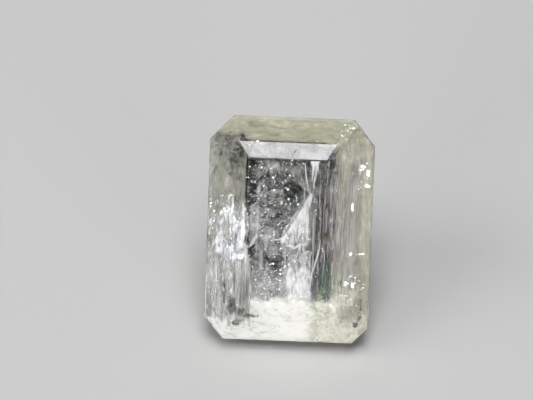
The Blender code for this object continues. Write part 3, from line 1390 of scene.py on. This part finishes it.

# Veils and films under the table, sheets of painted shade, and stains near the surface.
TABLE_VEILS = (
    Veil("deep_veil", DIM_VEIL, (
        Patch(0.0, -0.07, 1.60, 2.62, 0.9, power=16, softness=0.02),
        Patch(-1.36, 1.2, 0.2, 1.6, -0.3, power=4, softness=0.4),
        Patch(1.35, 0.6, 0.3, 1.5, -0.25, power=4, softness=0.4),
    ), 0.9, seed=11),
    Veil("table_wisps", WISP_VEIL, (
        Patch(-0.25, 0.8, 1.0, 1.8, 0.14, power=4, softness=0.7),
        Patch(-0.6, -1.3, 0.8, 1.5, 0.22, power=4, softness=0.7),
        Patch(-1.25, 0.3, 0.28, 0.5, 0.35),
        Patch(-0.70, 2.15, 0.35, 0.22, 0.3),
        Patch(-0.90, 0.0, 0.3, 1.0, 0.12),
        Patch(-1.13, 0.65, 0.035, 1.6, 0.45, power=4, softness=1.0),
        Patch(-0.55, 1.30, 0.55, 0.07, 0.40, lean=12.0, softness=1.0),
        Patch(0.25, 1.15, 0.40, 0.05, 0.35, lean=6.0, softness=1.0),
        Patch(-0.30, 0.28, 0.22, 0.035, 0.6, lean=4.0, softness=1.0),
        Patch(-0.80, -0.45, 0.05, 0.28, 0.4, softness=1.0),
        Patch(-0.55, -0.25, 0.04, 0.20, 0.5, softness=1.0),
        Patch(-0.98, -1.15, 0.04, 0.40, 0.3, softness=1.0),
    ), 0.45, seed=12),
    Veil("lower_mist", WISP_VEIL, (
        Patch(-0.5, -2.55, 1.2, 0.7, 0.55, power=3, softness=1.0),
        Patch(-0.6, -1.75, 0.6, 0.5, 0.30, softness=1.0),
        Patch(0.4, -2.0, 0.6, 0.9, 0.6, power=3, softness=0.6),
    ), 0.5, seed=13),
    Veil("feather", SILK_VEIL, (
        Strip((
            (-0.95, -0.14, 0.70, 0.30),
            (-0.40, -0.27, 0.72, 0.55),
            (-0.11, -0.14, 0.73, 0.50),
            (0.19, 0.06, 0.71, 0.65),
            (0.56, 0.30, 0.68, 0.95),
            (0.85, 0.50, 0.72, 1.0),
            (1.35, 0.74, 0.80, 0.8),
        ), 0.03, 0.12, 0.3),
        Patch(0.36, 0.62, 0.07, 0.75, 0.7, lean=-27.0, softness=0.9),
        Patch(-0.19, -0.30, 0.06, 0.22, 0.8, lean=-25.0, softness=0.9),
        Patch(0.3, -0.58, 0.38, 0.04, 0.25, lean=8.0, softness=0.9),
        Patch(-0.45, -0.38, 0.18, 0.05, 0.8, lean=10.0, softness=0.9),
    ), 0.12, seed=14),
    Veil("feather_tail", SILK_VEIL, (
        Strip((
            (-2.80, 0.00, 0.84, 1.0),
            (-2.10, -0.02, 0.82, 1.1),
            (-1.60, -0.06, 0.84, 0.60),
            (-1.20, -0.10, 0.80, 0.35),
            (-0.75, -0.15, 0.70, 0.40),
        ), 0.25, 0.16, 0.2),
    ), 0.16, seed=15),
    Veil("wedge", SILK_VEIL, (
        Strip(((1.36, 0.76, 0.82, 0.95), (2.48, 0.65, 1.02, 1.1)), 0.02, 0.03, 0.04),
    ), 0.15, seed=21),
    Veil("streaked_film", STRIATED_VEIL, (
        Strip(((-1.4, 0.66, 1.0, 0.4), (0.0, 0.66, 1.10, 0.5), (1.3, 0.70, 1.05, 0.35)), 0.08, 0.4, 0.6),
        Patch(1.4, 0.2, 0.18, 2.4, 0.2, power=4, softness=0.8),
    ), 0.3, seed=16),
    Veil("violet_film", VIOLET_VEIL, (
        Patch(0.90, -2.14, 0.13, 0.24, 1.0, softness=0.8),
        Patch(0.90, -1.75, 0.12, 0.25, 0.7, softness=0.8),
        Patch(1.35, 0.45, 0.2, 0.7, 0.35, softness=0.8),
        Patch(1.15, -0.9, 0.1, 0.4, 0.4, softness=0.8),
        Patch(-0.55, -1.66, 0.14, 0.12, 0.5, softness=0.8),
    ), 0.28, seed=17),
    Veil("green_film", GREEN_VEIL, (
        Patch(1.17, -2.34, 0.10, 0.10, 0.9, softness=1.0),
        Patch(1.30, -2.10, 0.07, 0.14, 0.4, softness=1.0),
        Patch(-1.19, -1.22, 0.06, 0.10, 0.7, softness=1.0),
        Patch(0.95, -2.85, 0.10, 0.20, 0.4, softness=1.0),
        Patch(1.06, -3.05, 0.10, 0.06, 0.4, softness=1.0),
        Patch(-0.23, -2.40, 0.08, 0.06, 0.5, softness=1.0),
        Patch(1.70, -1.70, 0.06, 0.18, 0.45, softness=1.0),
    ), 0.10, pitch=0.03, seed=18),
    Veil("teal_film", TEAL_VEIL, (
        Patch(1.34, -1.75, 0.20, 0.50, 0.75, softness=1.0),
        Patch(0.3, 0.95, 0.12, 0.2, 0.5, softness=0.8),
        Patch(-0.35, -3.05, 0.2, 0.2, 0.3, softness=0.8),
    ), 0.30, seed=19),
    # Painted shade in the dark far left corner.
    Veil("corner_shade", PAINTED_SHADE_VEIL, (
        Patch(-2.15, 2.90, 0.50, 0.34, 0.26, softness=1.2),
        Patch(-1.95, 2.50, 0.30, 0.60, 0.18, softness=1.2),
    ), 0.09, seed=41),
    # Dark blotches of painted shade under the table.
    Veil("painted_shade_film", PAINTED_SHADE_VEIL, (
        Patch(-1.39, 1.72, 0.13, 0.80, 0.55, power=4, softness=0.8),
        Patch(-0.89, 1.92, 0.32, 0.30, 0.45, softness=1.0),
        Patch(-0.05, 1.54, 0.55, 0.36, 0.50, softness=1.0),
        Patch(-0.24, 0.46, 0.40, 0.30, 0.35, softness=1.0),
        Patch(-1.27, -0.77, 0.12, 0.40, 0.45, softness=1.0),
        Patch(-0.66, -0.92, 0.33, 0.35, 0.38, softness=1.0),
        Patch(1.25, 1.89, 0.27, 0.30, 0.50, softness=1.0),
        Patch(1.37, -1.32, 0.14, 0.30, 0.40, softness=1.0),
        Patch(-0.10, 0.90, 1.30, 1.70, 0.16, power=4, softness=0.8),
    ), 0.5, seed=39),
    Veil("smoky_film", SMOKY_VEIL, (
        Strip(((3.06, -1.86, -1.44, 0.7), (3.12, -1.88, -1.50, 0.9), (3.40, -1.92, -1.86, 0.9)),
              0.02, 0.03, 0.03),
        Patch(-1.94, -2.74, 0.14, 0.28, 0.7, softness=0.8),
        Patch(-1.66, -2.98, 0.22, 0.15, 0.6, softness=0.8),
        Patch(-1.77, -3.38, 0.18, 0.12, 0.4, softness=0.8),
        Patch(-1.27, -3.12, 0.30, 0.07, 0.7, softness=0.8),
        Patch(2.49, -3.33, 0.08, 0.11, 0.7, softness=0.8),
        Patch(2.63, -3.08, 0.07, 0.09, 0.7, softness=0.8),
        Patch(2.65, -2.72, 0.05, 0.15, 0.7, softness=0.8),
        Patch(2.67, -2.43, 0.05, 0.06, 0.6, softness=0.8),
    ), 0.05, seed=20),
)

# Clouds of flakes.
CLOUDS = (
    Haze("left_flakes", FROST, (
        Patch(-2.2, 0.4, 0.4, 0.6, 0.9),
        Patch(-1.68, 0.0, 0.12, 0.65, 0.8, softness=0.3),
        Patch(-1.85, -1.1, 0.3, 0.16, 0.9),
        Patch(-2.3, -1.2, 0.5, 1.4, 0.15),
    ), 4500, 0.012, (0.04, 0.4), (0.12, 0.3, 0.2), 1.2, seed=31),
    Haze("feather_flakes", FROST, (
        Patch(0.38, 0.62, 0.16, 0.75, 1.0, lean=-30.0, softness=0.4),
        Patch(0.02, -0.2, 0.25, 0.4, 0.7, lean=-20.0),
        Patch(0.45, -1.9, 0.4, 0.55, 0.4, softness=0.6),
    ), 5000, 0.011, (0.25, 0.7), (0.08, 0.25, 0.2), 1.2, seed=32),
    Haze("glints", GLINT, (
        Patch(0.0, 0.0, 2.9, 3.9, 0.10, power=6),
        Patch(-2.1, -0.2, 0.6, 1.1, 0.35),
        Patch(0.2, -0.3, 0.6, 1.2, 0.25),
        Patch(-0.3, -3.3, 2.2, 0.5, 0.3),
        Patch(2.3, -2.4, 0.6, 1.2, 0.25),
        Patch(2.4, 2.6, 0.5, 1.2, 0.25),
        Patch(-0.7, -1.8, 0.7, 0.7, 0.12),
    ), 2700, 0.024, (0.05, 0.5), (0.15, 0.15, 0.15), 0.9, margin=0.045, seed=33,
        shape=FlakeShape.SCALE, facing=Facing.UNDER_TABLE, tumble=0.14),
    Haze("right_sparkles", SPARK, (
        Patch(2.52, 2.29, 0.10, 0.08, 1.0, lean=30.0),
        Patch(2.74, 2.12, 0.05, 0.11, 1.0),
        Patch(2.74, 1.66, 0.09, 0.05, 1.2),
        Patch(2.22, 0.88, 0.04, 0.12, 1.0),
        Patch(2.61, -0.78, 0.10, 0.03, 1.0),
        Patch(2.21, -0.80, 0.07, 0.04, 1.0, lean=40.0),
        Patch(2.33, -1.91, 0.04, 0.07, 1.0),
        Patch(2.08, -1.84, 0.05, 0.08, 1.0, lean=-30.0),
        Patch(2.30, -2.05, 0.50, 0.50, 0.02),
        Patch(2.55, 1.90, 0.25, 0.60, 0.02),
    ), 400, 0.028, (0.05, 0.07), (0.06, 0.06, 0.06), 0.8, margin=0.04, seed=38,
        shape=FlakeShape.SPANGLE, facing=Facing.UNDER_RIGHT, tumble=0.05),
    Haze("far_sparkles", SPARK, (
        Patch(1.92, 3.32, 0.05, 0.05, 1.0),
        Patch(1.76, 3.41, 0.03, 0.03, 1.0),
        Patch(2.21, 3.72, 0.10, 0.05, 1.0, lean=20.0),
        Patch(2.05, 3.60, 0.40, 0.25, 0.03),
    ), 120, 0.026, (0.05, 0.07), (0.06, 0.06, 0.06), 0.8, margin=0.04, seed=42,
        shape=FlakeShape.SPANGLE, facing=Facing.UNDER_FAR, tumble=0.10),
    Haze("left_sparkles", SPARK, (
        Patch(-2.30, 0.55, 0.14, 0.14, 0.8),
        Patch(-1.66, 0.10, 0.05, 0.60, 0.5, power=4),
        Patch(-1.64, -1.05, 0.07, 0.10, 1.0),
        Patch(-1.92, -1.08, 0.08, 0.05, 1.0),
        Patch(-2.84, 0.75, 0.04, 0.12, 0.8),
        Patch(-2.50, -0.30, 0.06, 0.20, 0.4),
        Patch(-2.20, 0.20, 0.60, 1.00, 0.02),
    ), 240, 0.026, (0.05, 0.07), (0.06, 0.06, 0.06), 0.8, margin=0.04, seed=40,
        shape=FlakeShape.SPANGLE, facing=Facing.UNDER_LEFT, tumble=0.05),
    Haze("body_flakes", FROST, (
        Patch(0.0, 0.0, 2.6, 3.6, 0.9, power=6),
    ), 10000, 0.011, (1.1, 3.4), (0.5, 0.7, 0.5), 2.4, margin=0.05, seed=35),
    Haze("ochre_grain", OCHRE, (
        Patch(1.29, -0.12, 0.07, 0.06, 1.0),
        Patch(1.20, -0.24, 0.05, 0.12, 0.3, lean=-30.0),
    ), 420, 0.012, (0.06, 0.15), (0.1, 0.1, 0.1), 0.4, seed=34),
)

# Edges of fractures, stains along them, and a scratch.
FRACTURE_EDGES = (
    Threads("feather_edges", FROST, (
        Thread(((0.80, 1.33), (0.70, 1.15), (0.50, 0.85), (0.30, 0.56), (0.06, 0.19), (-0.14, -0.11),
                (-0.27, -0.40), (-0.15, -0.75)), 0.09, (0.3, 0.6), 0.8),
        Thread(((-0.24, -0.35), (-0.15, -0.75), (-0.10, -1.18), (-0.12, -1.65), (-0.06, -2.18)),
               0.03, (0.6, 0.9)),
        Thread(((-0.59, -0.47), (-0.50, -0.36), (-0.42, -0.33), (-0.27, -0.40)), 0.03, (0.5, 0.6)),
        Thread(((-0.20, -0.62), (0.02, -0.58), (0.20, -0.66), (0.42, -0.52), (0.66, -0.47)),
               0.026, (0.10, 0.10), 0.9),
        Thread(((1.12, -0.31), (1.08, -0.70), (0.97, -1.14), (0.85, -1.61), (0.80, -2.07)),
               0.028, (0.10, 0.14)),
        Thread(((0.46, 2.40), (0.55, 1.78), (0.69, 1.18)), 0.022, (0.12, 0.12)),
        Thread(((-1.60, 0.62), (-1.60, 0.20), (-1.62, -0.35), (-1.66, -0.95)), 0.075, (0.2, 0.3), 0.8),
        Thread(((-1.15, -0.22), (-1.22, -0.40), (-1.40, -0.70)), 0.06, (0.2, 0.3), 0.8),
        Thread(((-1.42, -1.23), (-1.32, -2.05), (-1.32, -3.00)), 0.025, (0.2, 0.3)),
        Thread(((-2.30, -0.84), (-2.18, -1.91), (-2.08, -2.80)), 0.025, (0.15, 0.3)),
    ), seed=21),
    Threads("dark_threads", SMOKE, (
        Thread(((-1.92, -1.3), (-1.88, -2.0), (-1.80, -2.7)), 0.022, (0.08, 0.08)),
        Thread(((0.84, 2.30), (0.80, 1.90), (0.74, 1.35)), 0.018, (0.12, 0.12)),
    ), seed=23),
    Threads("surface_scratch", SMOKE, (
        Thread(((-0.01, 2.60), (0.06, 2.72), (0.16, 2.88)), 0.014, (-0.004, -0.004), 0.8),
    ), seed=25),
    Threads("straw_threads", STRAW, (
        Thread(((0.30, 3.58), (0.75, 3.72), (1.15, 3.84)), 0.009, (0.10, 0.12), 0.9),
        Thread(((0.10, 3.74), (0.40, 3.79), (0.62, 3.88)), 0.008, (0.10, 0.12), 0.9),
    ), seed=24),
    Threads("rust_threads", RUST, (
        Thread(((-1.53, 0.35), (-1.53, -0.10), (-1.51, -0.60)), 0.016, (0.15, 0.15)),
    ), seed=22),
)

# Growth tubes, which run along the stone.
TUBES = (
    GrowthTubes("pale_growth_tubes", FROST, (
        Patch(-2.1, -1.8, 0.8, 1.0, 1.0, power=4),
        Patch(2.1, 0.0, 0.6, 3.0, 0.7, power=4),
        Patch(0.9, 0.0, 0.5, 2.0, 0.2),
    ), 620, 0.007, (0.06, 0.7), seed=31, half_lengths=(0.15, 0.7)),
    GrowthTubes("dark_growth_tubes", SMOKE, (
        Patch(-2.1, -1.8, 0.8, 1.0, 1.0, power=4),
        Patch(2.1, 0.0, 0.6, 3.0, 0.3, power=4),
    ), 260, 0.007, (0.06, 0.7), seed=32, half_lengths=(0.15, 0.6)),
)


@dataclass
class InclusionsAndPaintedLight:
    """Everything that has grown or cracked inside the stone, with sheets of painted shade and a painted
    reflection among it.

    Attributes:
        form: The stone's form.
        parts: The pieces, from the veils under the crown to the growth tubes.
    """

    form: CutForm
    parts: tuple[Veil | Haze | Threads | GrowthTubes, ...] = (
        CROWN_VEILS + TABLE_VEILS + CLOUDS + FRACTURE_EDGES + TUBES
    )

    def build(self) -> None:
        """Build all of them and report each piece."""
        for part in self.parts:
            piece = part.build(self.form)
            log.info("%s: %d triangles", piece.name, len(piece.data.polygons))


@dataclass
class SoftBox:
    """A rectangular studio light that faces the stone.

    Attributes:
        name: Its name.
        azimuth: The way it stands from the stone, in degrees from +X towards +Y.
        elevation: How high it stands, in degrees.
        distance: How far it stands from the stone, in metres.
        width: Its width in metres.
        height: Its height in metres.
        radiance: How bright its face is.
        colour: Its colour.
    """

    name: str
    azimuth: float
    elevation: float
    distance: float
    width: float
    height: float
    radiance: float
    colour: Triple = (1.0, 1.0, 1.0)

    def build(self, target: Array) -> bpy.types.Object:
        """Place the light.

        Args:
            target: The point that it faces, in metres.

        Returns:
            The light's object.
        """
        lamp = bpy.data.lights.new(self.name, "AREA")
        lamp.shape = "RECTANGLE"
        lamp.size = self.width
        lamp.size_y = self.height
        lamp.energy = self.radiance * self.width * self.height * math.pi
        lamp.color = self.colour
        light = put(self.name, lamp)
        turn = math.radians(self.azimuth)
        rise = math.radians(self.elevation)
        away = Vector((math.cos(turn) * math.cos(rise), math.sin(turn) * math.cos(rise), math.sin(rise)))
        light.location = Vector(target) + away * self.distance
        light.rotation_euler = away.to_track_quat("Z", "Y").to_euler()
        return light


@dataclass
class Studio:
    """The pale floor, the soft lights and the camera.

    Attributes:
        form: The stone's form, for its axes.
        frame_width: Width that the picture covers at the stone, in millimetres.
        picture: Width and height of the picture in pixels.
        stone_pixel: Where the middle of the stone stands in the picture.
        roll: How far the stone leans clockwise in the picture, in degrees.
        distance: Distance of the camera from the stone, in metres.
        sensor: Width of the camera's sensor, in millimetres.
        clip: Nearest and farthest that the camera sees, as shares of its distance.
        floor_size: Width of the floor, in metres.
        floor_drop: How far the floor lies under the stone, in metres.
        floor_colour: Colour of the floor.
        floor_roughness: Roughness of the floor.
        floor_gloss: Strength of the floor's reflection.
        room: Brightness of the room, as (height, red, green, blue) from straight below to straight above.
        boxes: The soft lights.
    """

    form: CutForm
    frame_width: float = 19.08
    picture: tuple[int, int] = (533, 400)
    stone_pixel: tuple[float, float] = (289.1, 229.2)
    roll: float = 2.3
    distance: float = 0.16
    sensor: float = 36.0
    clip: tuple[float, float] = (0.1, 20.0)
    floor_size: float = 1.2
    floor_drop: float = 2e-6
    floor_colour: Triple = (0.42, 0.42, 0.415)
    floor_roughness: float = 0.9
    floor_gloss: float = 0.1
    room: tuple[Tint, ...] = (
        (0.0, 0.45, 0.45, 0.44),
        (0.56, 0.45, 0.45, 0.44),
        (0.68, 0.07, 0.07, 0.075),
        (1.0, 0.07, 0.07, 0.075),
    )
    boxes: tuple[SoftBox, ...] = (
        SoftBox("overhead_softbox", 90.0, 80.0, 0.30, 0.16, 0.16, 6.3, (0.96, 0.955, 0.975)),
        SoftBox("front_softbox", 270.0, 76.0, 0.30, 0.16, 0.16, 6.0),
        SoftBox("left_softbox", 190.0, 37.0, 0.35, 0.17, 0.17, 5.5),
        SoftBox("low_left_softbox", 236.0, 9.0, 0.40, 0.20, 0.10, 12.5),
        SoftBox("low_right_softbox", 302.0, 9.0, 0.40, 0.20, 0.10, 8.0),
        SoftBox("back_softbox", 95.0, 10.0, 0.40, 0.30, 0.12, 1.0),
    )

    def build_floor(self) -> bpy.types.Object:
        """Lay a plain pale floor just under the stone.

        Returns:
            The floor's object.
        """
        half = self.floor_size / 2
        corners = [(-half, -half), (half, -half), (half, half), (-half, half)]
        mesh = bpy.data.meshes.new("floor")
        mesh.from_pydata([(x, y, -self.floor_drop) for x, y in corners], [], [(0, 1, 2, 3)])
        material, tree, shader = new_material("pale_floor")
        feed(tree, shader, {
            "Base Color": (*self.floor_colour, 1.0),
            "Roughness": self.floor_roughness,
            "Specular IOR Level": self.floor_gloss,
        })
        mesh.materials.append(material)
        floor = put("floor", mesh)
        return floor

    def build_room(self) -> None:
        """Light the room softly, pale low down and dim overhead."""
        world = bpy.data.worlds.new("room")
        world.use_nodes = True
        tree = world.node_tree
        direction = tree.nodes.new("ShaderNodeTexCoord").outputs["Generated"]
        parts = feed(tree, tree.nodes.new("ShaderNodeSeparateXYZ"), {"Vector": direction})
        height = feed(tree, tree.nodes.new("ShaderNodeMapRange"), {
            "Value": parts.outputs["Z"],
            "From Min": -1.0,
            "From Max": 1.0,
        })
        feed(tree, tree.nodes["Background"], {"Color": add_tints(tree, height.outputs["Result"], self.room)})
        bpy.context.scene.world = world

    def build_camera(self) -> bpy.types.Object:
        """Look straight at the table, framed as the photograph is.

        Returns:
            The camera's object, set as the scene's camera.
        """
        lens = bpy.data.cameras.new("camera")
        lens.sensor_fit = "HORIZONTAL"
        lens.sensor_width = self.sensor
        lens.lens = self.sensor * self.distance / MM / self.frame_width
        lens.clip_start, lens.clip_end = (self.distance * share for share in self.clip)
        camera = put("camera", lens)
        across, along, up = (Vector(axis) for axis in self.form.axes)
        pixel = self.frame_width / self.picture[0]
        lean = math.radians(self.roll)
        right = across * math.cos(lean) + along * math.sin(lean)
        top = along * math.cos(lean) - across * math.sin(lean)
        aside = (self.stone_pixel[0] - self.picture[0] / 2) * pixel * MM
        below = (self.stone_pixel[1] - self.picture[1] / 2) * pixel * MM
        place = Vector(self.form.origin) - right * aside + top * below + up * self.distance
        turn = Matrix((right, top, up)).transposed().to_4x4()
        camera.matrix_world = Matrix.Translation(place) @ turn
        bpy.context.scene.camera = camera
        return camera

    def build(self) -> None:
        """Build the floor, the lights, the room and the camera, and let light pass through many layers."""
        self.build_room()
        self.build_floor()
        for box in self.boxes:
            box.build(self.form.origin)
        self.build_camera()
        scene = bpy.context.scene
        scene.view_settings.view_transform = "Standard"
        scene.cycles.max_bounces = 64
        scene.cycles.glossy_bounces = 48
        scene.cycles.transmission_bounces = 48
        scene.cycles.diffuse_bounces = 32
        scene.cycles.blur_glossy = 0.0
        scene.cycles.transparent_max_bounces = 96


def main() -> None:
    """Build every piece and the studio."""
    logging.basicConfig(level=logging.INFO, format="%(message)s")
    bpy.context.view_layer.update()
    finish = ClearCrystal()
    form = CutForm.from_frame(finish.ior)
    log.info("%d facets", len(form.reaches))
    stone = CutStone(form, finish).build()
    log.info("%s: %d faces", stone.name, len(stone.data.polygons))
    InclusionsAndPaintedLight(form).build()
    Studio(form).build()


if __name__ == "__main__":
    main()
